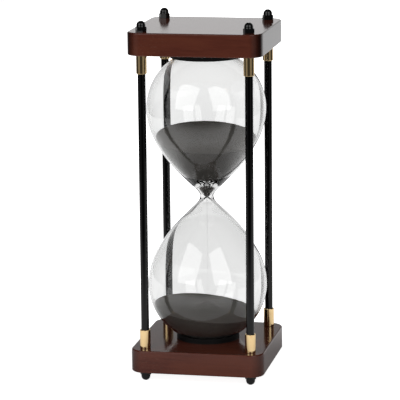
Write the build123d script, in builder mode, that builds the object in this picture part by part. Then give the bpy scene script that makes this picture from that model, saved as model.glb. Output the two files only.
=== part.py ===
"""Hourglass: one blown glass with two bulbs, held between two square wooden plates.

Four posts at the corners pull the plates together. Each post is a tube over a long threaded tie rod,
with a brass ferrule at each end, and the rod's ends take domed cap nuts outside the plates.
The glass sits on a soft pad in a recess of each plate, inside a seat ring.

Millimetres, +Z up. The origin is at the bottom centre, level with the crowns of the lower cap nuts.
"""

import os
from math import asin, cos, degrees, radians, sin, sqrt

from build123d import *

# Plates
plate_width = 110.0
plate_thickness = 18.7
plate_corner_radius = 12.0
plate_edge_radius = 1.0
plates_height = 279.5  # from the underside of the bottom plate to the top of the top plate

# Posts, one at each corner
post_spacing = 87.4
rod_radius = 2.4
tube_radius = 3.3
ferrule_radius = 4.35
ferrule_length = 15.4
ferrule_edge = 0.3
rod_hole_gap = 0.1  # between the rod and the holes in the plates and tubes
sleeve_gap = 0.05  # between a post's tube and its ferrules, and between a rod and its nuts

# Cap nuts
nut_height = 8.4
nut_flats = 8.0
nut_hex_height = 3.8
nut_dome_radius = 3.7
nut_crown_radius = 1.2  # small flat on the dome
nut_wall = 1.4  # of metal over the end of the rod

# Glass: outer surface, measured from the neck along the axis
neck_above_plate = 138.1  # from the underside of the bottom plate
bulb_radius = 49.1
bulb_widest = 74.0
bulb_length = 120.5
shoulder_offset = 1.8  # from the axis to the centre of the shoulder's arc
belly_arc_radius = 57.5
belly_arc_angle = 27.0
flank_angle = 45.0
neck_radius = 5.8
neck_arc_radius = 6.5
wall = 1.3
orifice_radius = 0.75
upper_knee = (6.4, 8.0)  # radius and distance from the neck, where the throat's cone begins
lower_knee = (4.0, 4.0)

# Seats of the glass
recess_radius = 18.0
recess_depth = 3.5
lower_ring_radius = 26.0
lower_lip_radius = 25.2  # where the ring's rim meets the glass
upper_ring_radius = 29.3
upper_lip_radius = 24.5
ring_gap = 0.1
pad_gap = 0.2
stopper_radius = 5.0
stopper_length = 6.0

# Sand
sand_gap = 0.2  # between the sand and the glass
upper_level = 186.5  # height of the surface on the axis, above the underside of the bottom plate
upper_lean = (0.05, -0.145)  # slope of the surface's normal along X and Y
crater_radius = 15.0
crater_depth = 2.4
lower_level = 43.0
lower_lean = (0.11, -0.01)
heap_radius = 13.0
heap_height = 7.4
heap_root = 2.0  # the heap's cone runs on below the surface
stream_radius = 0.45

# Levels
plate_low = nut_height
plate_low_top = plate_low + plate_thickness
total_height = plates_height + 2 * nut_height
plate_high_top = plate_low + plates_height
plate_high = plate_high_top - plate_thickness
neck_level = plate_low + neck_above_plate

corners = {
    "front_left": (-post_spacing / 2, -post_spacing / 2),
    "front_right": (post_spacing / 2, -post_spacing / 2),
    "back_left": (-post_spacing / 2, post_spacing / 2),
    "back_right": (post_spacing / 2, post_spacing / 2),
}

# The flank's large arc and the straight below it close the outline between the belly and the neck.
to_neck = bulb_widest - belly_arc_radius * sin(radians(belly_arc_angle))
to_neck -= neck_arc_radius * sin(radians(flank_angle))
inwards = bulb_radius - neck_radius - belly_arc_radius * (1 - cos(radians(belly_arc_angle)))
inwards -= neck_arc_radius * (1 - cos(radians(flank_angle)))
flank_rise = sin(radians(flank_angle)) - sin(radians(belly_arc_angle))
flank_fall = cos(radians(belly_arc_angle)) - cos(radians(flank_angle))
flank_arc_radius = (to_neck - inwards) / (flank_rise - flank_fall)
flank_straight = (to_neck - flank_arc_radius * flank_rise) / cos(radians(flank_angle))


def shoulder_point(inset, distance):
    """Radius of the shoulder's arc, inset from the outer surface, at a distance from the neck."""
    arc_radius = bulb_radius - shoulder_offset - inset
    return shoulder_offset + sqrt(arc_radius**2 - (distance - bulb_widest) ** 2)


def shoulder_distance(inset, radius):
    """Distance from the neck at which the shoulder's arc has a given radius."""
    arc_radius = bulb_radius - shoulder_offset - inset
    return bulb_widest + sqrt(arc_radius**2 - (radius - shoulder_offset) ** 2)


def bulb(inset, knee=None):
    """One bulb above the neck, as a body inset from the outer surface of the glass.

    Without a knee it ends in the round waist of the outer surface, and with one in the throat.
    """
    arc_radius = bulb_radius - shoulder_offset - inset
    end = bulb_length - inset
    end_radius = shoulder_point(inset, end)
    shoulder_angle = degrees(asin((end - bulb_widest) / arc_radius))
    slack = inset - wall
    with BuildPart() as body:
        with BuildSketch(Plane.XZ):
            with BuildLine():
                Line((0, end), (end_radius, end))
                CenterArc((shoulder_offset, bulb_widest), arc_radius, 0, shoulder_angle)
                belly = JernArc(
                    start=(bulb_radius - inset, bulb_widest),
                    tangent=(0, -1),
                    radius=belly_arc_radius - inset,
                    arc_size=-belly_arc_angle,
                )
                flank = JernArc(
                    start=belly @ 1,
                    tangent=belly % 1,
                    radius=flank_arc_radius - inset,
                    arc_size=belly_arc_angle - flank_angle,
                )
                if knee is None:
                    straight = Line(flank @ 1, flank @ 1 + (flank % 1) * flank_straight)
                    waist = JernArc(
                        start=straight @ 1,
                        tangent=straight % 1,
                        radius=neck_arc_radius,
                        arc_size=flank_angle,
                    )
                else:
                    throat = (orifice_radius - slack, 0)
                    bend = (knee[0] - slack, knee[1])
                    cone = (throat[0] - bend[0], throat[1] - bend[1])
                    Spline(flank @ 1, bend, tangents=(flank % 1, cone))
                    waist = Line(bend, throat)
                Polyline(waist @ 1, (0, 0), (0, end))
            make_face()
        revolve(axis=Axis.Z)
    return body.part


def plate(name, level, recess_level, recess_direction):
    """Square wooden plate with rounded corners, four rod holes and a recess for the pad."""
    with BuildPart() as board:
        with BuildSketch(Plane.XY.offset(level)):
            RectangleRounded(plate_width, plate_width, plate_corner_radius)
        extrude(amount=plate_thickness)
        rims = board.faces().filter_by(Axis.Z).edges()
        fillet(rims, radius=plate_edge_radius)
        with BuildSketch(Plane.XY.offset(level)):
            with GridLocations(post_spacing, post_spacing, 2, 2):
                Circle(rod_radius + rod_hole_gap)
        extrude(amount=plate_thickness, mode=Mode.SUBTRACT)
        with BuildSketch(Plane.XY.offset(recess_level)):
            Circle(recess_radius)
        extrude(amount=recess_depth * recess_direction, mode=Mode.SUBTRACT)
    save(board.part, name)


def seat_ring(name, plate_level, side, ring_radius, lip_radius):
    """Ring around the end of a bulb. side is 1 above the neck and -1 below it."""
    to_plate = abs(plate_level - neck_level)
    lip = shoulder_distance(-ring_gap, lip_radius)
    foot = shoulder_distance(-ring_gap, recess_radius)
    arc_centre = (shoulder_offset, bulb_widest)
    arc_radius = bulb_radius - shoulder_offset + ring_gap
    lip_angle = degrees(asin((lip - bulb_widest) / arc_radius))
    foot_angle = degrees(asin((foot - bulb_widest) / arc_radius))
    with BuildPart() as ring:
        with BuildSketch(Plane.XZ):
            with BuildLine():
                CenterArc(arc_centre, arc_radius, lip_angle, foot_angle - lip_angle)
                Polyline(
                    (recess_radius, foot),
                    (recess_radius, to_plate),
                    (ring_radius, to_plate),
                    (ring_radius, lip),
                    (lip_radius, lip),
                )
            make_face()
        revolve(axis=Axis.Z)
    save(on_axis(ring.part, side), name)


def cushion_pad(name, floor_level, bulb_end_level):
    """Soft disc that fills the recess between the plate and the end of the glass."""
    with BuildPart() as pad:
        with BuildSketch(Plane.XY.offset(floor_level)):
            Circle(recess_radius - pad_gap)
        extrude(amount=bulb_end_level - floor_level)
    save(pad.part, name)


def on_axis(shape, side):
    """A body made above the neck, put at the neck's level, or turned over to hang below it."""
    with BuildPart() as placed:
        with Locations((0, 0, neck_level)):
            if side > 0:
                add(shape)
            else:
                add(shape.mirror(Plane.XY))
    return placed.part


def save(shape, name):
    """Label a finished piece and write it to its own file."""
    shape.label = name
    export_step(shape, f"parts/{name}.step")


os.makedirs("parts", exist_ok=True)

# Wooden plates
plate("bottom_plate", plate_low, plate_low_top, -1)
plate("top_plate", plate_high, plate_high, 1)

# Glass, open only at the filling hole in its lower end
with BuildPart() as glass_bulbs:
    add(on_axis(bulb(0), 1))
    add(on_axis(bulb(0), -1))
    add(on_axis(bulb(wall, upper_knee), 1), mode=Mode.SUBTRACT)
    add(on_axis(bulb(wall, lower_knee), -1), mode=Mode.SUBTRACT)
    with BuildSketch(Plane.XY.offset(neck_level - bulb_length)):
        Circle(stopper_radius)
    extrude(amount=wall, mode=Mode.SUBTRACT)
save(glass_bulbs.part, "glass_bulbs")

# Stopper in the filling hole
with BuildPart() as fill_stopper:
    with BuildSketch(Plane.XY.offset(neck_level - bulb_length)):
        Circle(stopper_radius - sleeve_gap)
    extrude(amount=stopper_length)
save(fill_stopper.part, "fill_stopper")

# Seats of the glass
seat_ring("lower_seat_ring", plate_low_top, -1, lower_ring_radius, lower_lip_radius)
seat_ring("upper_seat_ring", plate_high, 1, upper_ring_radius, upper_lip_radius)
cushion_pad("lower_cushion_pad", plate_low_top - recess_depth, neck_level - bulb_length)
cushion_pad("upper_cushion_pad", plate_high + recess_depth, neck_level + bulb_length)

# Sand left in the upper bulb, with a leaning surface and a shallow crater over the neck
upper_surface = Plane(origin=(0, 0, plate_low + upper_level), z_dir=(*upper_lean, 1))
with BuildPart() as upper_sand:
    add(on_axis(bulb(wall + sand_gap, upper_knee), 1))
    split(bisect_by=upper_surface, keep=Keep.BOTTOM)
    with Locations(upper_surface):
        Cone(
            bottom_radius=stream_radius,
            top_radius=crater_radius,
            height=crater_depth,
            align=(Align.CENTER, Align.CENTER, Align.MAX),
            mode=Mode.SUBTRACT,
        )
save(upper_sand.part, "upper_sand")

# Sand in the lower bulb, with a heap under the stream
heap_top = plate_low + lower_level + heap_height
lower_surface = Plane(origin=(0, 0, plate_low + lower_level), z_dir=(*lower_lean, 1))
with BuildPart() as lower_sand:
    add(on_axis(bulb(wall + sand_gap, lower_knee), -1))
    split(bisect_by=lower_surface, keep=Keep.BOTTOM)
    with Locations((0, 0, heap_top)):
        Cone(
            bottom_radius=heap_radius * (1 + heap_root / heap_height),
            top_radius=stream_radius,
            height=heap_height + heap_root,
            align=(Align.CENTER, Align.CENTER, Align.MAX),
        )
    with BuildSketch(Plane.XY.offset(neck_level - bulb_length)):
        Circle(stopper_radius + sand_gap)
    extrude(amount=stopper_length + sand_gap, mode=Mode.SUBTRACT)
save(lower_sand.part, "lower_sand")

# Stream of falling sand, from the neck to the top of the heap
with BuildPart() as sand_stream:
    with BuildSketch(Plane.XY.offset(heap_top)):
        Circle(stream_radius)
    extrude(amount=neck_level - heap_top)
save(sand_stream.part, "sand_stream")

# Posts
ferrule_levels = {"lower": plate_low_top, "upper": plate_high - ferrule_length}
for corner, spot in corners.items():
    with BuildPart() as post_tube:
        with BuildSketch(Plane.XY.offset(plate_low_top)):
            with Locations(spot):
                Circle(tube_radius)
                Circle(rod_radius + rod_hole_gap, mode=Mode.SUBTRACT)
        extrude(amount=plate_high - plate_low_top)
    save(post_tube.part, f"post_tube_{corner}")

    with BuildPart() as tie_rod:
        with BuildSketch(Plane.XY.offset(nut_wall)):
            with Locations(spot):
                Circle(rod_radius)
        extrude(amount=total_height - 2 * nut_wall)
    save(tie_rod.part, f"tie_rod_{corner}")

    for end, level in ferrule_levels.items():
        with BuildPart() as ferrule:
            with BuildSketch(Plane.XY.offset(level)):
                with Locations(spot):
                    Circle(ferrule_radius)
            extrude(amount=ferrule_length)
            chamfer(ferrule.edges(), length=ferrule_edge)
            with BuildSketch(Plane.XY.offset(level)):
                with Locations(spot):
                    Circle(tube_radius + sleeve_gap)
            extrude(amount=ferrule_length, mode=Mode.SUBTRACT)
        save(ferrule.part, f"{end}_ferrule_{corner}")

# Cap nut, made once with its seat on the XY plane and its dome above
dome_cut = sqrt(nut_dome_radius**2 - nut_crown_radius**2)
with BuildPart() as cap_nut:
    with BuildSketch():
        RegularPolygon(nut_flats / 2, 6, major_radius=False)
    extrude(amount=nut_hex_height)
    with BuildSketch(Plane.XZ):
        with BuildLine():
            turn = nut_height - dome_cut
            dome = CenterArc((0, turn), nut_dome_radius, 0, degrees(asin(dome_cut / nut_dome_radius)))
            Polyline(dome @ 1, (0, nut_height), (0, 0), (nut_dome_radius, 0), (nut_dome_radius, turn))
        make_face()
    revolve(axis=Axis.Z)
    with BuildSketch(Plane.XZ):
        # the turned chamfer of the hexagon, cut as a ring outside a cone
        with BuildLine():
            outside = nut_flats
            drop = (outside - nut_flats / 2) * sin(radians(30)) / cos(radians(30))
            Polyline(
                (nut_flats / 2, nut_hex_height),
                (outside, nut_hex_height - drop),
                (outside, nut_hex_height),
                close=True,
            )
        make_face()
    revolve(axis=Axis.Z, mode=Mode.SUBTRACT)
    with BuildSketch():
        Circle(rod_radius + sleeve_gap)
    extrude(amount=nut_height - nut_wall + sleeve_gap, mode=Mode.SUBTRACT)

for corner, (x, y) in corners.items():
    with BuildPart() as upper_nut:
        with Locations((x, y, plate_high_top)):
            add(cap_nut.part)
    save(upper_nut.part, f"upper_cap_nut_{corner}")

    with BuildPart() as lower_nut:
        with Locations((x, y, plate_low)):
            add(cap_nut.part.mirror(Plane.XY))
    save(lower_nut.part, f"lower_cap_nut_{corner}")
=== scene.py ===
"""Hourglass: the finish of a blown glass between two lacquered plates, with its posts, nuts and sand.

Laid out as an add-on with one operator for each group of pieces, and run as a script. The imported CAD
model is loaded as a fixed frame, and every piece here stands for one of its nodes, in metres.
"""

from math import atan2, cos, pi, radians, sin, sqrt

import bpy
import numpy as np
from bpy.props import FloatProperty, FloatVectorProperty, PointerProperty
from bpy.types import Operator, Panel, PropertyGroup
from mathutils import Matrix, Vector


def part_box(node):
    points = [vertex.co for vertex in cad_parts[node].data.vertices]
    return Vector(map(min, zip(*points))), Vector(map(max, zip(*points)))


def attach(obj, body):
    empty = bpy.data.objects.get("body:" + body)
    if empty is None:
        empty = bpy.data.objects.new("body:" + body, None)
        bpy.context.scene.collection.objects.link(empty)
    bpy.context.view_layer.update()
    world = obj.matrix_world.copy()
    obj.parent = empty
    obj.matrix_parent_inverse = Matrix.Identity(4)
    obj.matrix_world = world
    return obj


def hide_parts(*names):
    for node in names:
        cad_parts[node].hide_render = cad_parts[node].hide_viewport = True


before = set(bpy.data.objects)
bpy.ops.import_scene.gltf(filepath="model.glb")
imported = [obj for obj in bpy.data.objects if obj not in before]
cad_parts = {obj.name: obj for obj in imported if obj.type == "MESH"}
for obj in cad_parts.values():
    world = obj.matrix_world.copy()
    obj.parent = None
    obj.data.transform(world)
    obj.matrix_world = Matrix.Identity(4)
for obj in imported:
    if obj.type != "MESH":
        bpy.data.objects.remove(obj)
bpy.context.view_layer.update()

bl_info = {
    "name": "Hourglass",
    "version": (1, 0, 0),
    "blender": (4, 5, 0),
    "location": "View3D > Sidebar > Hourglass",
    "description": "Builds a lacquered wood and glass hourglass with black sand around its CAD frame",
    "category": "Object",
}

BODY = "root"
MM = 0.001
CORNERS = ("front_left", "front_right", "back_left", "back_right")
SHARP_EDGE = radians(32)
ROD_HOLE_RADIUS = 2.5 * MM
PAD_GAP = 0.2 * MM  # between a cushion pad and the recess or ring around it

# Levels and widths that the frame gives
glass_low, glass_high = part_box("glass_bulbs")
rod_low, rod_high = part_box("tie_rod_front_right")
POST = (rod_low + rod_high) / 2
PLATE_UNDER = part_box("bottom_plate")[0].z
NECK = (glass_low.z + glass_high.z) / 2
BULB_LENGTH = (glass_high.z - glass_low.z) / 2
BULB_RADIUS = glass_high.x


# Settings


class HourglassShape(PropertyGroup):
    """Sizes that the frame's boxes don't give."""

    wall: FloatProperty(
        name="Glass wall", description="Thickness of the blown glass", default=1.3 * MM,
        unit="LENGTH", precision=5,
    )
    sand_gap: FloatProperty(
        name="Sand gap", description="Space between the sand and the glass", default=0.12 * MM,
        unit="LENGTH", precision=5,
    )
    heap_radius: FloatProperty(
        name="Heap radius", description="Foot of the heap under the stream", default=13 * MM,
        unit="LENGTH", precision=5,
    )
    crater_radius: FloatProperty(
        name="Crater radius", description="Rim of the hollow above the neck", default=15 * MM,
        unit="LENGTH", precision=5,
    )
    crater_depth: FloatProperty(
        name="Crater depth", description="Depth of the hollow above the neck", default=2.4 * MM,
        unit="LENGTH", precision=5,
    )
    upper_level: FloatProperty(
        name="Upper level", description="Height of the upper sand over the feet's plate",
        default=186.5 * MM, unit="LENGTH", precision=5,
    )
    lower_level: FloatProperty(
        name="Lower level", description="Height of the lower sand over the feet's plate",
        default=43 * MM, unit="LENGTH", precision=5,
    )
    plate_corner: FloatProperty(
        name="Plate corner", description="Corner radius of the wooden plates", default=12 * MM,
        unit="LENGTH", precision=5,
    )
    plate_edge: FloatProperty(
        name="Plate edge", description="Radius of the plates' eased edges", default=1 * MM,
        unit="LENGTH", precision=5,
    )


class HourglassFinish(PropertyGroup):
    """Colours and surface qualities that a user would change."""

    stain: FloatVectorProperty(
        name="Stain", description="Main colour of the stained wood", subtype="COLOR",
        default=(0.118, 0.0305, 0.0190), min=0, max=1,
    )
    stain_dark: FloatVectorProperty(
        name="Dark grain", description="Colour of the grain lines", subtype="COLOR",
        default=(0.078, 0.0192, 0.0132), min=0, max=1,
    )
    lacquer_roughness: FloatProperty(
        name="Lacquer roughness", description="Blur of what the lacquer mirrors",
        default=0.13, min=0, max=1, subtype="FACTOR",
    )
    glass_tint: FloatVectorProperty(
        name="Glass tint", description="Colour of the clear glass", subtype="COLOR",
        default=(0.975, 0.978, 0.975), min=0, max=1,
    )
    sand: FloatVectorProperty(
        name="Sand", description="Main colour of the sand grains", subtype="COLOR",
        default=(0.140, 0.129, 0.116), min=0, max=1,
    )
    brass: FloatVectorProperty(
        name="Brass", description="Colour of the polished ferrules", subtype="COLOR",
        default=(0.90, 0.66, 0.35), min=0, max=1,
    )


class HourglassStudio(PropertyGroup):
    """Camera and light."""

    camera_place: FloatVectorProperty(
        name="Camera place", description="Where the camera stands", subtype="XYZ", unit="LENGTH",
        default=(0.3822, -1.8865, 0.5348),
    )
    camera_pan: FloatProperty(
        name="Pan", description="Turn of the camera to the left of +Y", default=radians(11.625),
        unit="ROTATION",
    )
    camera_tilt: FloatProperty(
        name="Tilt", description="Angle of the camera below the horizon", default=radians(11.5),
        unit="ROTATION",
    )
    camera_roll: FloatProperty(
        name="Roll", description="Turn of the camera about its own view", default=radians(-0.55),
        unit="ROTATION",
    )
    lens: FloatProperty(
        name="Lens", description="Focal length for a 36 mm sensor", default=214.6,
    )
    panel_strength: FloatProperty(
        name="Softbox radiance", description="Brightness of the two soft panels", default=1.8, min=0,
    )
    paper: FloatProperty(
        name="Paper brightness", description="Strength of the paper's own glow", default=1.0, min=0,
    )


class HourglassSettings(PropertyGroup):
    """All settings of the hourglass."""

    shape: PointerProperty(type=HourglassShape)
    finish: PointerProperty(type=HourglassFinish)
    studio: PointerProperty(type=HourglassStudio)


# Meshes from numpy surfaces


def make_mesh(name, points, faces):
    """A mesh from an array of points and a list of faces, smooth but for its sharp edges."""
    mesh = bpy.data.meshes.new(name)
    mesh.from_pydata(points.tolist(), [], faces)
    mesh.polygons.foreach_set("use_smooth", np.ones(len(mesh.polygons), bool))
    mesh.set_sharp_from_angle(angle=SHARP_EDGE)
    mesh.update()
    return mesh


def finish_piece(name, mesh, node, finish):
    """Puts a mesh in the scene with its finish, in place of a CAD node."""
    piece = bpy.data.objects.new(name, mesh)
    bpy.context.scene.collection.objects.link(piece)
    mesh.materials.append(finish)
    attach(piece, BODY)
    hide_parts(node)
    return piece


def grid_faces(rows, columns, close_rows=False):
    """Quads of a grid of points whose columns run once around, and whose rows may close too."""
    row = np.arange(rows if close_rows else rows - 1)[:, None]
    column = np.arange(columns)[None, :]
    after, beside = (row + 1) % rows, (column + 1) % columns
    corners = (
        row * columns + column,
        row * columns + beside,
        after * columns + beside,
        after * columns + column,
    )
    return np.stack(np.broadcast_arrays(*corners), -1).reshape(-1, 4)


def turned(name, radius, height, centre=(0.0, 0.0), turns=96):
    """Surface of revolution about a vertical line.

    radius and height are the outline's points, one row each, or arrays of rows by angles where the
    outline changes around the piece. Each point is at centre + radius * (cos a, sin a), height. An end
    with no radius closes in a pole, and an outline with no such end closes on itself. The outline runs
    with the material on its left as seen with the axis to the left and height upwards.
    """
    angle = np.linspace(0, 2 * pi, turns, endpoint=False)
    radius = np.asarray(radius, float)
    height = np.asarray(height, float)
    if radius.ndim == 1:
        radius = radius[:, None]
    if height.ndim == 1:
        height = height[:, None]
    radius, height, angle = np.broadcast_arrays(radius, height, angle[None, :])
    first_pole = bool(np.all(radius[0] == 0))
    last_pole = bool(np.all(radius[-1] == 0))
    body = slice(1 if first_pole else 0, -1 if last_pole else None)
    ring = np.stack([centre[0] + radius * np.cos(angle), centre[1] + radius * np.sin(angle), height], -1)
    rows = ring[body].shape[0]
    points = ring[body].reshape(-1, 3)
    faces = grid_faces(rows, turns, close_rows=not (first_pole or last_pole)).tolist()
    edge = np.arange(turns)
    beside = (edge + 1) % turns
    for closed, level, base, flip in (
        (first_pole, height[0].mean(), 0, True),
        (last_pole, height[-1].mean(), (rows - 1) * turns, False),
    ):
        if closed:
            pole = np.full(turns, len(points))
            points = np.vstack([points, (centre[0], centre[1], level)])
            fan = (base + beside, base + edge, pole) if flip else (base + edge, base + beside, pole)
            faces += np.stack(fan, -1).tolist()
    return make_mesh(name, points, faces)


def arc(centre, radius, start, end, steps):
    """Points of an arc in the outline's plane, from one angle to another in degrees, ends included."""
    angle = np.radians(np.linspace(start, end, steps))
    return np.stack([centre[0] + radius * np.cos(angle), centre[1] + radius * np.sin(angle)], -1)


def bar_outline(inner, outer, low, high, edge, steps=4):
    """Closed outline of a sleeve with eased outer edges: four corners, the two outer ones rounded.

    A point close beyond each end of a rounding keeps the flat and the side true up to it.
    """
    return np.vstack([
        [(inner, low), (outer - 1.3 * edge, low)],
        arc((outer - edge, low + edge), edge, -90, 0, steps),
        [(outer, low + 1.3 * edge), (outer, high - 1.3 * edge)],
        arc((outer - edge, high - edge), edge, 0, 90, steps),
        [(outer - 1.3 * edge, high), (inner, high)],
    ])


# Materials


class Wire:
    """A node's output. Arithmetic on it adds Math nodes, so that shader maths reads as expressions."""

    def __init__(self, nodes, socket):
        self.nodes = nodes
        self.socket = socket

    def maths(self, operation, first, second):
        return self.nodes.add("ShaderNodeMath", {"operation": operation}, {0: first, 1: second})

    def __add__(self, other):
        return self.maths("ADD", self, other)

    def __radd__(self, other):
        return self.maths("ADD", other, self)

    def __sub__(self, other):
        return self.maths("SUBTRACT", self, other)

    def __rsub__(self, other):
        return self.maths("SUBTRACT", other, self)

    def __mul__(self, other):
        return self.maths("MULTIPLY", self, other)

    def __rmul__(self, other):
        return self.maths("MULTIPLY", other, self)


class Nodes:
    """The node tree of a finish or of the world, with one method that adds any node."""

    def __init__(self, tree):
        self.tree = tree
        tree.nodes.clear()

    def add(self, kind, settings=None, inputs=None, output=0):
        """Adds a node from its own properties and from the values or wires of its sockets."""
        node = self.tree.nodes.new(kind)
        for name, value in (settings or {}).items():
            setattr(node, name, value)
        for name, value in (inputs or {}).items():
            if isinstance(value, Wire):
                self.tree.links.new(value.socket, node.inputs[name])
            else:
                node.inputs[name].default_value = value
        return Wire(self, node.outputs[output]) if node.outputs else node

    def place(self, scale=(1, 1, 1), offset=(0, 0, 0)):
        """The piece's own coordinates in metres, times a scale."""
        own = self.add("ShaderNodeTexCoord", output="Object")
        inputs = {"Vector": own, "Scale": scale, "Location": offset}
        return self.add("ShaderNodeMapping", {"vector_type": "POINT"}, inputs)

    def noise(self, scale, detail=3.0, roughness=0.5, distortion=0.0, offset=(0, 0, 0)):
        """Noise from 0 to 1 whose scale is given in cycles a metre along X, Y and Z."""
        inputs = {
            "Vector": self.place(scale, offset), "Scale": 1.0, "Detail": detail,
            "Roughness": roughness, "Distortion": distortion,
        }
        return self.add("ShaderNodeTexNoise", None, inputs)

    def seen_through_glass(self):
        """1 for a ray that has come through glass with no mirroring on its way."""
        through = self.add("ShaderNodeLightPath", output="Is Transmission Ray")
        mirrored = self.add("ShaderNodeLightPath", output="Glossy Depth")
        return through * (1 - self.ramp(mirrored, 0, 1))

    def ramp(self, value, low, high):
        """Rises smoothly from 0 to 1 as value goes from low to high."""
        inputs = {"Value": value, "From Min": low, "From Max": high}
        return self.add("ShaderNodeMapRange", {"interpolation_type": "SMOOTHSTEP"}, inputs)

    def blend(self, factor, first, second):
        """Mix of two colours."""
        first = first if isinstance(first, Wire) else (*first, 1)
        second = second if isinstance(second, Wire) else (*second, 1)
        return self.add("ShaderNodeMix", {"data_type": "RGBA"}, {0: factor, 6: first, 7: second}, 2)

    def bump(self, height, distance, strength=1.0):
        """Normal of a surface raised by height times distance."""
        inputs = {"Height": height, "Distance": distance, "Strength": strength}
        return self.add("ShaderNodeBump", None, inputs)

    def surface(self, inputs):
        """The material's one surface, a Principled shader."""
        principled = self.add("ShaderNodeBsdfPrincipled", None, inputs)
        self.add("ShaderNodeOutputMaterial", None, {"Surface": principled})


def new_finish(name):
    """An empty material and its nodes."""
    finish = bpy.data.materials.new(name)
    finish.use_nodes = True
    return finish, Nodes(finish.node_tree)


def stained_wood(settings):
    """Reddish brown wood with grain along X and a clear gloss lacquer, with a painted sheen of pale
    flecks on the left half and painted shade on the sides that face along X.
    """
    finish, nodes = new_finish("stained wood")
    figure = nodes.ramp(nodes.noise((14, 45, 45), detail=3, distortion=0.6), 0.35, 0.68)
    streaks = nodes.noise((26, 520, 520), detail=5, roughness=0.62, distortion=0.25)
    fine = nodes.noise((70, 1700, 1700), detail=3, roughness=0.6, offset=(3, 1, 2))
    lines = nodes.ramp(streaks * 0.6 + fine * 0.4, 0.3, 0.6)
    warm = tuple(c * k for c, k in zip(settings.stain, (1.2, 1.3, 1.15)))
    colour = nodes.blend(lines, settings.stain_dark, settings.stain)
    colour = nodes.blend(figure * 0.7, colour, warm)
    along = nodes.add("ShaderNodeSeparateXYZ", None, {"Vector": nodes.place()}, "X")
    # Painted sheen: pale flecks lighten the left half of each plate
    sheen_side = nodes.ramp(along, -8 * MM, -28 * MM)
    speck_noise = nodes.noise((420, 1700, 1700), detail=1, offset=(7, 5, 3))
    sheen_specks = nodes.ramp(speck_noise, 0.64, 0.74) * sheen_side
    colour = nodes.blend(sheen_specks * 0.16, colour, (0.30, 0.19, 0.14))
    # Painted shade: the base colour goes nearly black on the sides that face along X
    ends = nodes.add("ShaderNodeAttribute", {"attribute_name": "painted_side_shade"}, output="Fac")
    colour = nodes.blend(ends, colour, tuple(c * 0.12 for c in settings.stain_dark))
    relief = nodes.bump(streaks, 0.012 * MM)
    inputs = {
        "Base Color": colour, "Roughness": 0.5, "Specular IOR Level": 0.0,
        "Coat Weight": 1.0, "Coat Roughness": settings.lacquer_roughness, "Coat IOR": 1.37,
        "Normal": relief,
    }
    nodes.surface(inputs)
    return finish


def clear_glass(settings):
    """Clear glass that bends what is seen through it and lets the lamps' light reach the sand."""
    finish, nodes = new_finish("clear glass")
    inputs = {
        "Base Color": (*settings.glass_tint, 1), "Roughness": 0.0, "IOR": 1.5,
        "Transmission Weight": 1.0, "Normal": nodes.bump(nodes.noise((70, 70, 40), detail=1), 0.02 * MM),
    }
    surface = nodes.add("ShaderNodeBsdfPrincipled", None, inputs)
    open_way = nodes.add("ShaderNodeBsdfTransparent", None, {"Color": (0.92, 0.92, 0.92, 1)})
    lamps = nodes.add("ShaderNodeLightPath", output="Is Shadow Ray")
    both = nodes.add("ShaderNodeMixShader", None, {0: lamps, 1: surface, 2: open_way})
    nodes.add("ShaderNodeOutputMaterial", None, {"Surface": both})
    return finish


def black_sand(settings):
    """Fine charcoal grains of uneven grey, with a granular relief."""
    finish, nodes = new_finish("black sand")
    grains = nodes.add(
        "ShaderNodeTexVoronoi", None, {"Vector": nodes.place(), "Scale": 1 / (0.35 * MM)}, "Color"
    )
    shade = nodes.add("ShaderNodeSeparateXYZ", None, {"Vector": grains}, 0)
    drift = nodes.noise((120, 120, 120), detail=4, roughness=0.6)
    dark = tuple(c * 0.62 for c in settings.sand)
    light = tuple(c * 1.5 for c in settings.sand)
    colour = nodes.blend(shade * 0.6 + drift * 0.4, dark, light)
    height = nodes.noise((2200, 2200, 2200), detail=2)
    inputs = {
        "Base Color": colour, "Roughness": 0.72, "Specular IOR Level": 0.35,
        "Normal": nodes.bump(height + shade, 0.12 * MM, 0.7),
    }
    nodes.surface(inputs)
    return finish


def black_enamel():
    """Smooth black enamel of the post tubes, with a trace of orange peel."""
    finish, nodes = new_finish("black enamel")
    peel = nodes.noise((900, 900, 500), detail=2)
    haze = nodes.noise((60, 60, 30), detail=3)
    inputs = {
        "Base Color": nodes.blend(haze, (0.0004, 0.0004, 0.0005), (0.0012, 0.0012, 0.0013)),
        "Roughness": 0.06 + haze * 0.05, "IOR": 1.36, "Normal": nodes.bump(peel, 0.0003 * MM),
    }
    nodes.surface(inputs)
    return finish


def black_chrome():
    """Deep black plating of the cap nuts."""
    finish, nodes = new_finish("black chrome")
    haze = nodes.noise((300, 300, 300), detail=3)
    inputs = {
        "Base Color": nodes.blend(haze, (0.003, 0.003, 0.003), (0.006, 0.006, 0.006)),
        "Roughness": 0.05 + haze * 0.05, "IOR": 1.5,
        "Normal": nodes.bump(haze, 0.01 * MM),
    }
    nodes.surface(inputs)
    return finish


def polished_brass(settings):
    """Brass turned on a lathe: fine rings around the ferrule over a bright polish."""
    finish, nodes = new_finish("polished brass")
    rings = nodes.noise((40, 40, 9000), detail=2)
    tarnish = nodes.ramp(nodes.noise((260, 260, 160), detail=4, roughness=0.6), 0.45, 0.8)
    dull = tuple(c * k for c, k in zip(settings.brass, (0.78, 0.72, 0.62)))
    inputs = {
        "Base Color": nodes.blend(tarnish * 0.6, settings.brass, dull), "Metallic": 1.0,
        "Roughness": 0.08 + tarnish * 0.05 + rings * 0.04, "Normal": nodes.bump(rings, 0.0006 * MM),
    }
    nodes.surface(inputs)
    return finish


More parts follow.
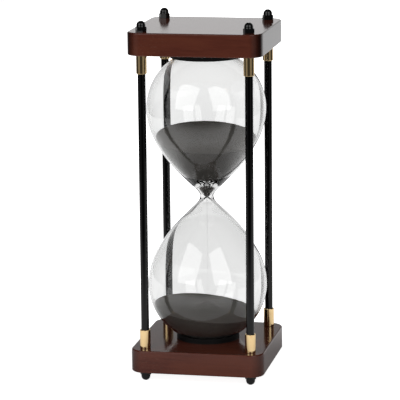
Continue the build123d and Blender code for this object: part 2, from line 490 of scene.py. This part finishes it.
def black_rubber():
    """Moulded black rubber with a faint bloom."""
    finish, nodes = new_finish("black rubber")
    bloom = nodes.noise((220, 220, 400), detail=4, roughness=0.6)
    inputs = {
        "Base Color": nodes.blend(bloom, (0.003, 0.003, 0.003), (0.008, 0.008, 0.0085)),
        "Roughness": 0.5 + bloom * 0.2, "Specular IOR Level": 0.2,
        "Normal": nodes.bump(bloom, 0.02 * MM),
    }
    nodes.surface(inputs)
    return finish


def black_felt():
    """Pressed felt with short fibres."""
    finish, nodes = new_finish("black felt")
    fibres = nodes.noise((1800, 1800, 900), detail=4, roughness=0.7, distortion=1.2)
    inputs = {
        "Base Color": nodes.blend(fibres, (0.008, 0.008, 0.009), (0.04, 0.04, 0.042)),
        "Roughness": 0.95, "Sheen Weight": 0.4, "Normal": nodes.bump(fibres, 0.2 * MM),
    }
    nodes.surface(inputs)
    return finish


def plated_steel():
    """Zinc-plated steel of the tie rods."""
    finish, nodes = new_finish("plated steel")
    spangle = nodes.noise((500, 500, 120), detail=4)
    inputs = {
        "Base Color": nodes.blend(spangle, (0.42, 0.42, 0.44), (0.62, 0.62, 0.64)), "Metallic": 1.0,
        "Roughness": 0.28 + spangle * 0.15, "Normal": nodes.bump(spangle, 0.01 * MM),
    }
    nodes.surface(inputs)
    return finish


# Shapes of the glass and the sand


class BulbOutline:
    """The bulb's outline above the neck, from its end to its waist or throat, for one inset.

    Radius and distance from the neck follow a chain of tangent arcs: a nearly spherical shoulder, a
    belly, a larger flank arc, a straight at 45 degrees and the hollow arc of the waist. An inset moves
    the shoulder, belly and flank inwards by the same amount. With a knee, the straight and the waist
    give way to the throat. The shoulder is the slice of points from the bulb's end to just short of
    its widest place.
    """

    widest = 74 * MM
    shoulder_offset = 1.8 * MM
    belly_radius = 57.5 * MM
    belly_angle = radians(27)
    flank_angle = radians(45)
    neck_radius = 5.8 * MM
    waist_radius = 6.5 * MM
    orifice = 0.75 * MM
    # Radius and distance from the neck where the cone of each throat begins
    upper_knee = (6.4 * MM, 8.0 * MM)
    lower_knee = (4.0 * MM, 4.0 * MM)

    def __init__(self, inset, wall, knee=None, steps=40):
        rise = sin(self.flank_angle) - sin(self.belly_angle)
        fall = cos(self.belly_angle) - cos(self.flank_angle)
        to_neck = self.widest - self.belly_radius * sin(self.belly_angle)
        to_neck -= self.waist_radius * sin(self.flank_angle)
        inwards = BULB_RADIUS - self.neck_radius - self.belly_radius * (1 - cos(self.belly_angle))
        inwards -= self.waist_radius * (1 - cos(self.flank_angle))
        flank_radius = (to_neck - inwards) / (rise - fall)
        shoulder_radius = BULB_RADIUS - self.shoulder_offset
        end = BULB_LENGTH - inset
        reach = shoulder_radius - inset
        end_radius = self.shoulder_offset + sqrt(reach**2 - (end - self.widest) ** 2)
        end_angle = np.degrees(atan2(end - self.widest, end_radius - self.shoulder_offset))
        belly = np.degrees(self.belly_angle)
        flank = np.degrees(self.flank_angle)
        belly_centre = (BULB_RADIUS - self.belly_radius, self.widest)
        shift = flank_radius - self.belly_radius
        flank_centre = (
            belly_centre[0] - shift * cos(self.belly_angle),
            belly_centre[1] + shift * sin(self.belly_angle),
        )
        waist_centre = (self.neck_radius + self.waist_radius, 0)
        self.shoulder = slice(1, 2 * steps)
        parts = [
            [(0, end)],
            arc((self.shoulder_offset, self.widest), reach, end_angle, 0, 2 * steps),
            arc(belly_centre, self.belly_radius - inset, 0, -belly, steps)[1:],
            arc(flank_centre, flank_radius - inset, -belly, -flank, steps)[1:],
        ]
        if knee is None:
            parts.append(arc(waist_centre, self.waist_radius, 180 - flank, 180, steps))
        else:
            slack = inset - wall
            start = parts[-1][-1]
            bend = np.array((knee[0] - slack, knee[1]))
            throat = np.array((self.orifice - slack, 0))
            parts.append(self.throat(start, bend, throat, steps)[1:])
        self.radius, self.distance = np.vstack(parts).T

    def throat(self, start, bend, end, steps):
        """A cubic curve from the flank to the knee, tangent to both, then a cone to the orifice."""
        down = np.array((-cos(self.flank_angle), -sin(self.flank_angle)))
        cone = (end - bend) / np.linalg.norm(end - bend)
        reach = np.linalg.norm(bend - start)
        t = np.linspace(0, 1, steps)[:, None]
        curve = (
            (2 * t**3 - 3 * t**2 + 1) * start
            + (t**3 - 2 * t**2 + t) * down * reach
            + (3 * t**2 - 2 * t**3) * bend
            + (t**3 - t**2) * cone * reach
        )
        return np.vstack([curve, bend + (end - bend) * np.linspace(0, 1, 9)[1:, None]])


def grain_relief(x, y, seed):
    """Uneven surface of poured sand: a sum of eight crossing ripples of chance lengths, from -1 to 1."""
    chance = np.random.default_rng(seed)
    height = np.zeros_like(x)
    for turn in range(8):
        heading = chance.uniform(0, 2 * pi)
        length = chance.uniform(3, 16) * MM
        along = x * cos(heading) + y * sin(heading)
        height += np.sin(2 * pi * along / length + chance.uniform(0, 2 * pi))
    return height / 8


def sand_body(name, outline, side, surface, turns=192, rings=90):
    """Sand that fills a bulb up to a surface.

    surface(x, y) is the height of the sand's top. Around each direction the glass line is where the
    outline meets that height. The top is a disc of rings drawn out to the glass line, and the side runs
    down the outline from there to the axis.
    """
    angle = np.linspace(0, 2 * pi, turns, endpoint=False)
    radius, height = outline.radius, NECK + side * outline.distance
    if side < 0:
        order = np.argsort(height, kind="stable")
    else:
        order = np.arange(len(height))[::-1]
    radius, height = radius[order], height[order]
    x, y = radius[:, None] * np.cos(angle), radius[:, None] * np.sin(angle)
    above = height[:, None] - surface(x, y)
    level = np.argmax(above > 0, axis=0)
    column = np.arange(turns)
    share = -above[level - 1, column] / (above[level, column] - above[level - 1, column])
    line_radius = radius[level - 1] + share * (radius[level] - radius[level - 1])
    line_height = height[level - 1] + share * (height[level] - height[level - 1])
    foot = height[0]
    down = np.linspace(1, 0, 120)[:, None]
    side_height = foot + (line_height - foot) * down
    side_radius = np.interp(side_height, height, radius)
    side_radius[0] = line_radius
    if side < 0:
        side_radius[-1] = radius[height <= foot + 1e-9].max()
    inward = np.linspace(1, 0, rings)[:, None] ** 1.15
    top_radius = line_radius * inward
    top_height = surface(top_radius * np.cos(angle), top_radius * np.sin(angle))
    closing = np.zeros((1, turns))
    rows_radius = np.vstack([closing, side_radius[::-1], top_radius[1:]])
    rows_height = np.vstack([np.full((1, turns), foot), side_height[::-1], top_height[1:]])
    return turned(name, rows_radius, rows_height, turns=turns)


# Operators, one for each group of pieces


class HOURGLASS_OT_plates(Operator):
    """Build the two lacquered wooden plates"""

    bl_idname = "hourglass.plates"
    bl_label = "Plates"

    def execute(self, context):
        settings = context.scene.hourglass
        wood = stained_wood(settings.finish)
        for node, recess_up in (("bottom_plate", True), ("top_plate", False)):
            mesh = plate_mesh(node + "_lacquered", node, recess_up, settings.shape)
            # Painted shade on the sides facing along X, deeper on the top plate than on the bottom one
            paint_side_shade(mesh, 0.5 if recess_up else 0.95)
            finish_piece(node + "_lacquered", mesh, node, wood)
        return {"FINISHED"}


def paint_side_shade(mesh, depth):
    """Paints shade on the sides that face along X: a share that reaches depth where the surface looks
    straight along X.
    """
    normal = np.empty(3 * len(mesh.vertices), np.float32)
    mesh.vertices.foreach_get("normal", normal)
    along = np.abs(normal.reshape(-1, 3)[:, 0])
    ends = depth * np.clip((along - 0.25) / 0.6, 0, 1)
    mesh.attributes.new("painted_side_shade", "FLOAT", "POINT").data.foreach_set("value", ends.astype(np.float32))


def plate_mesh(name, node, recess_up, shape):
    """Rounded square plate with four rod holes and a round recess in one face.

    Each quarter is a fan of lines from its hole to the quarter's outline. Along them run the face and,
    where the outline is the plate's own edge, the quarter round and the side. A row close beyond each
    end of the round keeps the flats true. The other quarters are mirror images, and all are welded.
    """
    low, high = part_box(node)
    pad_low, pad_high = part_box("lower_cushion_pad" if recess_up else "upper_cushion_pad")
    half, edge, corner = high.x, shape.plate_edge, shape.plate_corner
    support = 1.3 * edge
    hole = np.array((POST.x, -POST.y))
    recess = pad_high.x + PAD_GAP
    floor = pad_low.z if recess_up else pad_high.z
    flat = half - edge
    turn = half - corner
    lip = flat - turn

    def toward(start, end, steps):
        """Even points from a start up to an end, which is left out."""
        return np.linspace(start, end, steps, endpoint=False)

    def outline(with_recess):
        """The quarter's outer points with their normals, from the X axis round, and its inner points."""
        bend = np.radians(toward(0, 90, 16))
        side_a = toward((flat, 0), (flat, turn), 10)
        round_b = np.stack([turn + lip * np.cos(bend), turn + lip * np.sin(bend)], -1)
        side_c = toward((turn, flat), (0, flat), 10)
        outer = np.vstack([side_a, round_b, side_c, [(0, flat)]])
        normal = np.vstack([
            np.tile((1.0, 0.0), (len(side_a), 1)),
            np.stack([np.cos(bend), np.sin(bend)], -1),
            np.tile((0.0, 1.0), (len(side_c) + 1, 1)),
        ])
        if with_recess:
            swing = np.radians(toward(90, 0, 14))
            inner = np.vstack([
                toward((0, flat), (0, recess), 8)[1:],
                np.stack([recess * np.cos(swing), recess * np.sin(swing)], -1),
                toward((recess, 0), (flat, 0), 8),
            ])
        else:
            inner = np.vstack([toward((0, flat), (0, 0), 15)[1:], toward((0, 0), (flat, 0), 15)])
        return outer, normal, inner

    points, faces = [], []

    def strip(rows, wrap):
        """Adds quads between rows of points."""
        base = sum(len(p) for p in points)
        rows = np.asarray(rows)
        count, length = rows.shape[:2]
        quads = grid_faces(count, length)
        if not wrap:
            quads = quads[np.arange(len(quads)) % length != length - 1]
        points.append(rows.reshape(-1, 3))
        faces.append(quads + base)

    def at(flat_points, level):
        """Points of the plane, all at one level."""
        return np.column_stack([flat_points, np.full(len(flat_points), level)])

    for level, has_recess, up in ((high.z, recess_up, True), (low.z, not recess_up, False)):
        outer, normal, inner = outline(has_recess)
        border = np.vstack([outer, inner])
        heading = np.arctan2(*(border - hole).T[::-1])
        rim = hole + ROD_HOLE_RADIUS * np.stack([np.cos(heading), np.sin(heading)], -1)
        rows = [at(rim + (border - rim) * t, level) for t in (0, 0.2, 0.4, 0.6, 0.8, 0.99, 1)]
        strip(rows if up else rows[::-1], True)
        middle = (low.z + high.z) / 2
        bore_rows = [at(rim, middle), at(rim, level)]
        strip(bore_rows if up else bore_rows[::-1], True)
        swing = np.linspace(0, pi / 2, 6)
        sign = 1 if up else -1
        bands = [at(outer + normal * edge * sin(a), level - sign * edge * (1 - cos(a))) for a in swing]
        bands.append(at(outer + normal * edge, level - sign * support))
        bands.append(at(outer + normal * edge, middle))
        strip(bands if up else bands[::-1], False)
        if has_recess:
            swing = np.radians(np.linspace(90, 0, 15))
            circle = np.stack([recess * np.cos(swing), recess * np.sin(swing)], -1)
            walls = [at(circle, level), at(circle, floor)]
            walls += [at(circle * t, floor) for t in (0.75, 0.5, 0.25, 0)]
            strip(walls if up else walls[::-1], False)
    quarter = np.vstack(points)
    quads = np.vstack(faces)
    mesh_points, mesh_faces = [], []
    for index, (sx, sy) in enumerate(((1, 1), (-1, 1), (-1, -1), (1, -1))):
        mesh_points.append(quarter * (sx, sy, 1))
        mesh_faces.append((quads if sx * sy > 0 else quads[:, ::-1]) + index * len(quarter))
    return welded(name, np.vstack(mesh_points), np.vstack(mesh_faces))


def welded(name, points, quads):
    """A mesh whose coinciding points are one. A quad with a side of no length becomes a triangle."""
    keys = np.round(points / (0.001 * MM)).astype(np.int64)
    _, first, index = np.unique(keys, axis=0, return_index=True, return_inverse=True)
    quads = index.reshape(-1)[quads]
    repeated = quads == np.roll(quads, 1, axis=1)
    order = np.argsort(repeated, axis=1, kind="stable")
    whole = quads[repeated.sum(axis=1) == 0]
    folded = np.take_along_axis(quads, order, axis=1)[repeated.sum(axis=1) == 1, :3]
    return make_mesh(name, points[first], whole.tolist() + folded.tolist())


class HOURGLASS_OT_glass(Operator):
    """Blow the glass: two bulbs and the neck in one wall, open at the filling hole"""

    bl_idname = "hourglass.glass"
    bl_label = "Glass"

    def execute(self, context):
        settings = context.scene.hourglass
        wall = settings.shape.wall
        steps, stopper_gap = 28, 0.05 * MM
        outer = BulbOutline(0, wall, steps=steps)
        upper = BulbOutline(wall, wall, BulbOutline.upper_knee, steps)
        lower = BulbOutline(wall, wall, BulbOutline.lower_knee, steps)
        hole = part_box("fill_stopper")[1].x + stopper_gap
        radius = np.concatenate([
            upper.radius, lower.radius[::-1][1:-1], [hole, hole],
            outer.radius[1:], outer.radius[::-1][1:],
        ])
        height = NECK + np.concatenate([
            upper.distance, -lower.distance[::-1][1:-1], [-lower.distance[0], -outer.distance[0]],
            -outer.distance[1:], outer.distance[::-1][1:],
        ])
        mesh = turned("glass_bulbs_blown", radius, height, turns=160)
        glass = clear_glass(settings.finish)
        finish_piece("glass_bulbs_blown", mesh, "glass_bulbs", glass)
        return {"FINISHED"}


class HOURGLASS_OT_sand(Operator):
    """Pour the sand: the rest above, the heap below and the stream between them"""

    bl_idname = "hourglass.sand"
    bl_label = "Sand"

    def execute(self, context):
        shape = context.scene.hourglass.shape
        sand = black_sand(context.scene.hourglass.finish)
        inset = shape.wall + shape.sand_gap
        stream_low, stream_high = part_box("sand_stream")
        upper_level = PLATE_UNDER + shape.upper_level
        lower_level = PLATE_UNDER + shape.lower_level

        def upper_surface(x, y):
            """A leaning plane less a bell-shaped crater above the neck, with ripples."""
            away = np.hypot(x, y)
            lean = upper_level - 0.05 * x + 0.145 * y
            crater = shape.crater_depth * np.exp(-((away / (0.62 * shape.crater_radius)) ** 2))
            return lean - crater + 0.18 * MM * grain_relief(x, y, 4)

        def lower_surface(x, y):
            """A leaning plane with a cone whose foot is softened, a dented tip and ripples."""
            away = np.hypot(x, y)
            lean = lower_level - 0.11 * x + 0.01 * y
            cone = (stream_low.z - lower_level) * (1 - away / shape.heap_radius)
            soft = 0.8 * MM
            heap = soft * np.log1p(np.exp(cone / soft))
            dent = 0.35 * MM * np.exp(-((away / (1.2 * MM)) ** 2))
            ripple = 0.15 * MM * grain_relief(x, y, 9) * np.clip(away / (6 * MM), 0, 1)
            return lean + heap - dent + ripple

        top = BulbOutline(inset, shape.wall, BulbOutline.upper_knee)
        mesh = sand_body("upper_sand_poured", top, 1, upper_surface)
        finish_piece("upper_sand_poured", mesh, "upper_sand", sand)
        low = BulbOutline(inset, shape.wall, BulbOutline.lower_knee)
        mesh = sand_body("lower_sand_poured", low, -1, lower_surface)
        finish_piece("lower_sand_poured", mesh, "lower_sand", sand)
        span = (stream_high.x, stream_low.z, stream_high.z)
        mesh = falling_grains("sand_stream_falling", *span)
        finish_piece("sand_stream_falling", mesh, "sand_stream", sand)
        return {"FINISHED"}


def falling_grains(name, radius, low, high, count=320, grain=0.13 * MM):
    """Loose grains of a falling stream.

    A grain that has fallen for a share t of the time is 0.35 t + 0.65 t * t of the way down, so the
    grains spread out as they fall. Each is an octahedron at a chance place across the stream, with its
    corners drawn in by chance.
    """
    chance = np.random.default_rng(3)
    time = (np.arange(count) + chance.uniform(0, 1, count)) / count
    level = high - grain - (high - low - 2 * grain) * (0.35 * time + 0.65 * time**2)
    turn = chance.uniform(0, 2 * pi, count)
    away = (radius - grain) * np.sqrt(chance.uniform(0, 1, count))
    centre = np.stack([away * np.cos(turn), away * np.sin(turn), level], -1)
    corner = np.array([(1, 0, 0), (0, 1, 0), (-1, 0, 0), (0, -1, 0), (0, 0, 1), (0, 0, -1)], float)
    face = np.array([
        (0, 1, 4), (1, 2, 4), (2, 3, 4), (3, 0, 4), (1, 0, 5), (2, 1, 5), (3, 2, 5), (0, 3, 5),
    ])
    size = grain * chance.uniform(0.6, 1, (count, 1, 3))
    points = (centre[:, None] + corner * size).reshape(-1, 3)
    faces = (face[None] + 6 * np.arange(count)[:, None, None]).reshape(-1, 3)
    return make_mesh(name, points, faces.tolist())


class HOURGLASS_OT_seats(Operator):
    """Mould the seat rings, pads and stopper that hold and close the glass"""

    bl_idname = "hourglass.seats"
    bl_label = "Seats"

    def execute(self, context):
        shape = context.scene.hourglass.shape
        rubber, felt = black_rubber(), black_felt()
        glass_gap = 0.1 * MM
        outer = BulbOutline(-glass_gap, shape.wall)
        radius, distance = outer.radius[outer.shoulder], outer.distance[outer.shoulder]
        for node in ("upper_seat_ring", "lower_seat_ring"):
            low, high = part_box(node)
            upper = low.z > NECK
            side = 1 if upper else -1
            lip, plate = (low.z, high.z) if upper else (high.z, low.z)
            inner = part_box("upper_cushion_pad")[1].x + PAD_GAP
            meets = np.interp(abs(lip - NECK), distance[::-1], radius[::-1])
            across = np.linspace(meets, inner, 16)
            bed = np.interp(across, radius, distance)
            bed = np.column_stack([across, NECK + side * bed])
            round_edge = 0.4 * MM
            rim = arc((high.x - round_edge, round_edge), round_edge, 0, -90, 5)
            rim = np.vstack([[(high.x, 1.3 * round_edge)], rim])
            rim[:, 1] = lip + side * rim[:, 1]
            path = np.vstack([[(inner, plate), (high.x, plate)], rim, bed])
            path = path if upper else path[::-1]
            mesh = turned(node + "_moulded", *path[::-1].T, turns=128)
            finish_piece(node + "_moulded", mesh, node, rubber)
        for node in ("upper_cushion_pad", "lower_cushion_pad"):
            low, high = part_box(node)
            path = bar_outline(0, high.x, low.z, high.z, 0.5 * MM, 5)
            mesh = turned(node + "_felt", *path.T, turns=96)
            finish_piece(node + "_felt", mesh, node, felt)
        low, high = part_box("fill_stopper")
        path = bar_outline(0, high.x, low.z, high.z, 0.4 * MM, 5)
        mesh = turned("fill_stopper_moulded", *path.T, turns=64)
        finish_piece("fill_stopper_moulded", mesh, "fill_stopper", rubber)
        return {"FINISHED"}


class HOURGLASS_OT_posts(Operator):
    """Draw the four enamelled post tubes and the tie rods inside them"""

    bl_idname = "hourglass.posts"
    bl_label = "Posts"

    def execute(self, context):
        enamel, steel = black_enamel(), plated_steel()
        for corner in CORNERS:
            low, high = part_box(f"post_tube_{corner}")
            middle = (low + high) / 2
            outer = (high.x - low.x) / 2
            path = bar_outline(ROD_HOLE_RADIUS, outer, low.z, high.z, 0.2 * MM)
            mesh = turned(f"post_tube_{corner}_enamelled", *path.T, centre=middle.xy, turns=64)
            finish_piece(mesh.name, mesh, f"post_tube_{corner}", enamel)
            mesh = threaded_rod(f"tie_rod_{corner}_threaded", *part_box(f"tie_rod_{corner}"))
            finish_piece(mesh.name, mesh, f"tie_rod_{corner}", steel)
        return {"FINISHED"}


def threaded_rod(name, low, high):
    """Rod with a screw thread at each end.

    The radius at a height and an angle is the crest less the thread's depth times a triangle wave of
    height / pitch - angle / full turn. The depth fades to nothing towards the plain middle.
    """
    pitch, depth, threaded, turns = 0.8 * MM, 0.42 * MM, 27 * MM, 24
    crest = (high.x - low.x) / 2
    middle = (low + high) / 2
    near = np.arange(low.z, low.z + threaded, pitch / 8)
    height = np.concatenate([near, high.z - (near[::-1] - low.z)])[:, None]
    angle = np.linspace(0, 2 * pi, turns, endpoint=False)[None, :]
    wave = np.abs((height / pitch - angle / (2 * pi)) % 1 * 2 - 1)
    from_end = np.minimum(height - low.z, high.z - height)
    fade = np.clip((threaded - from_end) / (2 * MM), 0, 1)
    radius = crest - depth * wave * fade
    radius = np.minimum(radius, crest - np.clip(0.5 * MM - from_end, 0, 1))
    radius = np.vstack([np.zeros((1, turns)), radius, np.zeros((1, turns))])
    height = np.concatenate([[low.z], height[:, 0], [high.z]])
    return turned(name, radius, height, centre=middle.xy, turns=turns)


class HOURGLASS_OT_ferrules(Operator):
    """Turn the eight brass ferrules"""

    bl_idname = "hourglass.ferrules"
    bl_label = "Ferrules"

    def execute(self, context):
        brass = polished_brass(context.scene.hourglass.finish)
        bore, edge = 3.35 * MM, 0.3 * MM
        for end in ("upper", "lower"):
            for corner in CORNERS:
                node = f"{end}_ferrule_{corner}"
                low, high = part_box(node)
                middle = (low + high) / 2
                path = bar_outline(bore, (high.x - low.x) / 2, low.z, high.z, edge)
                mesh = turned(node + "_turned", *path.T, centre=middle.xy, turns=96)
                finish_piece(mesh.name, mesh, node, brass)
        return {"FINISHED"}


class HOURGLASS_OT_cap_nuts(Operator):
    """Form the eight domed cap nuts"""

    bl_idname = "hourglass.cap_nuts"
    bl_label = "Cap nuts"

    def execute(self, context):
        plating = black_chrome()
        for end in ("upper", "lower"):
            for corner in CORNERS:
                node = f"{end}_cap_nut_{corner}"
                mesh = cap_nut(node + "_domed", *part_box(node), end == "upper")
                finish_piece(mesh.name, mesh, node, plating)
        return {"FINISHED"}


def cap_nut(name, low, high, upright):
    """Domed cap nut on a hexagon.

    Around the hexagon the radius is half the flats over the cosine of the angle from the nearest flat's
    middle. Its corners are turned off by a cone of 30 degrees. Above it stand a short neck and a dome
    with a small flat crown. Inside is a blind bore.
    """
    turns = 96
    middle = (low + high) / 2
    half_flats = (high.y - low.y) / 2
    hexagon_height, dome, crown, bore = 3.8 * MM, 3.7 * MM, 1.2 * MM, 2.45 * MM
    height = high.z - low.z
    angle = np.linspace(0, 2 * pi, turns, endpoint=False)
    from_flat = (angle + radians(60)) % radians(60) - radians(30)
    hexagon = half_flats / np.cos(from_flat)
    turned_off = (hexagon - half_flats) * sin(radians(30)) / cos(radians(30))
    centre = height - sqrt(dome**2 - crown**2)
    swing = np.linspace(0, atan2(height - centre, crown), 18)
    fillet = 0.25 * MM
    deep = height - 1.35 * MM
    mouth = 0.35 * MM
    even = np.ones(turns)
    rows = [
        (0 * even, deep * even),
        (bore * even, deep * even),
        (bore * even, mouth * even),
        ((bore + mouth) * even, 0 * even),
        (np.minimum(hexagon, half_flats) * 0.985, 0 * even),
        (hexagon, turned_off * 0.6),
        (hexagon, hexagon_height - turned_off),
        (half_flats * even, hexagon_height * even),
        ((dome + fillet) * even, hexagon_height * even),
        ((dome + 0.3 * fillet) * even, (hexagon_height + 0.3 * fillet) * even),
        (dome * even, (hexagon_height + fillet) * even),
    ]
    rows += [(dome * cos(a) * even, (centre + dome * sin(a)) * even) for a in swing]
    rows.append((0 * even, height * even))
    radius, level = np.array([r for r, _ in rows]), np.array([h for _, h in rows])
    if upright:
        return turned(name, radius, low.z + level, centre=middle.xy, turns=turns)
    return turned(name, radius[::-1], high.z - level[::-1], centre=middle.xy, turns=turns)


class HOURGLASS_OT_stage(Operator):
    """Set the white paper, the soft light and the camera"""

    bl_idname = "hourglass.stage"
    bl_label = "Stage"

    def execute(self, context):
        studio = context.scene.hourglass.studio
        context.scene.view_settings.view_transform = "Standard"
        context.scene.cycles.caustics_refractive = False
        context.scene.cycles.caustics_reflective = False
        lay_paper(studio)
        light_world(context.scene)
        for name, azimuth, width in (("left softbox", -31, 1.5), ("right softbox", 41.5, 1.4)):
            hang_softbox(name, radians(azimuth), width, studio.panel_strength)
        set_camera(context.scene, studio)
        return {"FINISHED"}


def lay_paper(studio):
    """White paper under the object.

    Its own glow is weak under the object, grows with distance from it and fades out at the front edge.
    It is set apart for what the camera sees and for what is seen through the glass.
    """
    front, back, side, fade = -0.55, 4.0, 0.9, 0.35
    along = np.linspace(front, back, 40)
    across = np.linspace(-side, side, 20)
    x, y = np.meshgrid(across, along)
    points = np.column_stack([x.ravel(), y.ravel(), np.zeros(x.size)])
    quads = grid_faces(len(along), len(across))
    quads = quads[np.arange(len(quads)) % len(across) != len(across) - 1]
    mesh = make_mesh("paper", points, quads.tolist())
    finish, nodes = new_finish("white paper")
    own = nodes.add("ShaderNodeTexCoord", output="Object")
    away = nodes.add("ShaderNodeVectorMath", {"operation": "LENGTH"}, {0: own}, "Value")
    beside = nodes.ramp(away, 0.08, 0.22)
    far = nodes.ramp(away, 0.5, 2.0)
    seen = nodes.add("ShaderNodeLightPath", output="Is Camera Ray")
    through = nodes.seen_through_glass()
    along_y = nodes.add("ShaderNodeSeparateXYZ", None, {"Vector": own}, "Y")
    lit = nodes.ramp(along_y, front, front + fade)
    glow = 0.12 + 0.58 * beside + 0.2 * far + through * (0.5 - 0.46 * beside)
    inputs = {
        "Base Color": nodes.blend(lit, (0.35, 0.35, 0.35), (0.8, 0.8, 0.8)), "Roughness": 1.0,
        "Specular IOR Level": 0.0, "Emission Color": glow * lit + seen * (0.8 + 0.3 * beside),
        "Emission Strength": studio.paper,
    }
    nodes.surface(inputs)
    mesh.materials.append(finish)
    paper = bpy.data.objects.new("paper", mesh)
    bpy.context.scene.collection.objects.link(paper)


def light_world(scene):
    """A dark studio with a bright backdrop low behind the object, seen as plain white.

    What is seen through the glass is nearly white on every side. A ray that was mirrored on its way
    through meets about half of that, and none of it in front of the object.
    """
    world = bpy.data.worlds.new("studio")
    scene.world = world
    world.use_nodes = True
    nodes = Nodes(world.node_tree)
    way = nodes.add("ShaderNodeTexCoord", output="Generated")
    back = nodes.add("ShaderNodeSeparateXYZ", None, {"Vector": way}, "Y")
    up = nodes.add("ShaderNodeSeparateXYZ", None, {"Vector": way}, "Z")
    behind = nodes.ramp(back, 0.5, 0.8)
    low_part = nodes.ramp(up, 0.45, 0.2)
    backdrop = behind * (0.3 * low_part + 0.62 * nodes.ramp(up, 0.3, 0.16))
    seen = nodes.add("ShaderNodeLightPath", output="Is Camera Ray")
    through = nodes.add("ShaderNodeLightPath", output="Is Transmission Ray")
    clear = nodes.seen_through_glass()
    mirrored = (through - clear) * nodes.ramp(back, -0.75, -0.25)
    patches = floor_gleam(nodes, way, -40) + floor_gleam(nodes, way, 54)
    gleam = nodes.ramp(up, 0.0, -0.1) * patches * 0.2
    glow = 0.04 + (backdrop + gleam) * (1 - through) + clear * 0.9 + mirrored * 0.5
    inputs = {"Color": glow + seen * (1.0 - glow), "Strength": 1.0}
    light = nodes.add("ShaderNodeBackground", None, inputs)
    nodes.add("ShaderNodeOutputWorld", None, {"Surface": light})


def floor_gleam(nodes, way, azimuth):
    """Dim streak that a softbox leaves on the dark floor, around one direction."""
    toward = (sin(radians(azimuth)), -cos(radians(azimuth)), -0.2)
    near = nodes.add("ShaderNodeVectorMath", {"operation": "DOT_PRODUCT"}, {0: way, 1: toward}, "Value")
    return nodes.ramp(near, cos(radians(20)), cos(radians(6)))


def hang_softbox(name, azimuth, width, radiance):
    """A soft panel in front of the object, square to the line to the middle of the bulbs."""
    distance, elevation, height = 2.1, radians(26.5), 1.85
    aim = Vector((0, 0, 0.2))
    way = Vector((sin(azimuth) * cos(elevation), -cos(azimuth) * cos(elevation), sin(elevation)))
    lamp = bpy.data.lights.new(name, "AREA")
    lamp.shape = "RECTANGLE"
    lamp.size, lamp.size_y = width, height
    lamp.energy = radiance * width * height * pi
    panel = bpy.data.objects.new(name, lamp)
    panel.location = aim + way * distance
    panel.rotation_euler = way.to_track_quat("Z", "Y").to_euler()
    panel.visible_camera = False
    bpy.context.scene.collection.objects.link(panel)


def set_camera(scene, studio):
    """The camera, panned, tilted and rolled in that order."""
    camera = bpy.data.objects.new("camera", bpy.data.cameras.new("camera"))
    camera.data.sensor_width = 36
    camera.data.lens = studio.lens
    pan = Matrix.Rotation(studio.camera_pan, 4, "Z")
    tilt = Matrix.Rotation(pi / 2 - studio.camera_tilt, 4, "X")
    roll = Matrix.Rotation(studio.camera_roll, 4, "Z")
    camera.matrix_world = Matrix.Translation(studio.camera_place) @ pan @ tilt @ roll
    scene.collection.objects.link(camera)
    scene.camera = camera


class HOURGLASS_PT_sidebar(Panel):
    """Lists the operators that build the hourglass, and its settings"""

    bl_idname = "HOURGLASS_PT_sidebar"
    bl_label = "Hourglass"
    bl_space_type = "VIEW_3D"
    bl_region_type = "UI"
    bl_category = "Hourglass"

    def draw(self, context):
        for operator in OPERATORS:
            self.layout.operator(operator.bl_idname)
        settings = context.scene.hourglass
        for group in (settings.shape, settings.finish, settings.studio):
            box = self.layout.box()
            for name in group.__annotations__:
                box.prop(group, name)


OPERATORS = (
    HOURGLASS_OT_plates,
    HOURGLASS_OT_glass,
    HOURGLASS_OT_sand,
    HOURGLASS_OT_seats,
    HOURGLASS_OT_posts,
    HOURGLASS_OT_ferrules,
    HOURGLASS_OT_cap_nuts,
    HOURGLASS_OT_stage,
)
SETTINGS = (HourglassShape, HourglassFinish, HourglassStudio, HourglassSettings)


def register():
    for kind in (*SETTINGS, *OPERATORS, HOURGLASS_PT_sidebar):
        bpy.utils.register_class(kind)
    bpy.types.Scene.hourglass = PointerProperty(type=HourglassSettings)


def unregister():
    del bpy.types.Scene.hourglass
    for kind in (HOURGLASS_PT_sidebar, *reversed(OPERATORS), *reversed(SETTINGS)):
        bpy.utils.unregister_class(kind)


def main():
    """Registers the add-on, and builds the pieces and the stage."""
    register()
    for name in ("plates", "glass", "sand", "seats", "posts", "ferrules", "cap_nuts", "stage"):
        getattr(bpy.ops.hourglass, name)()


if __name__ == "__main__":
    main()
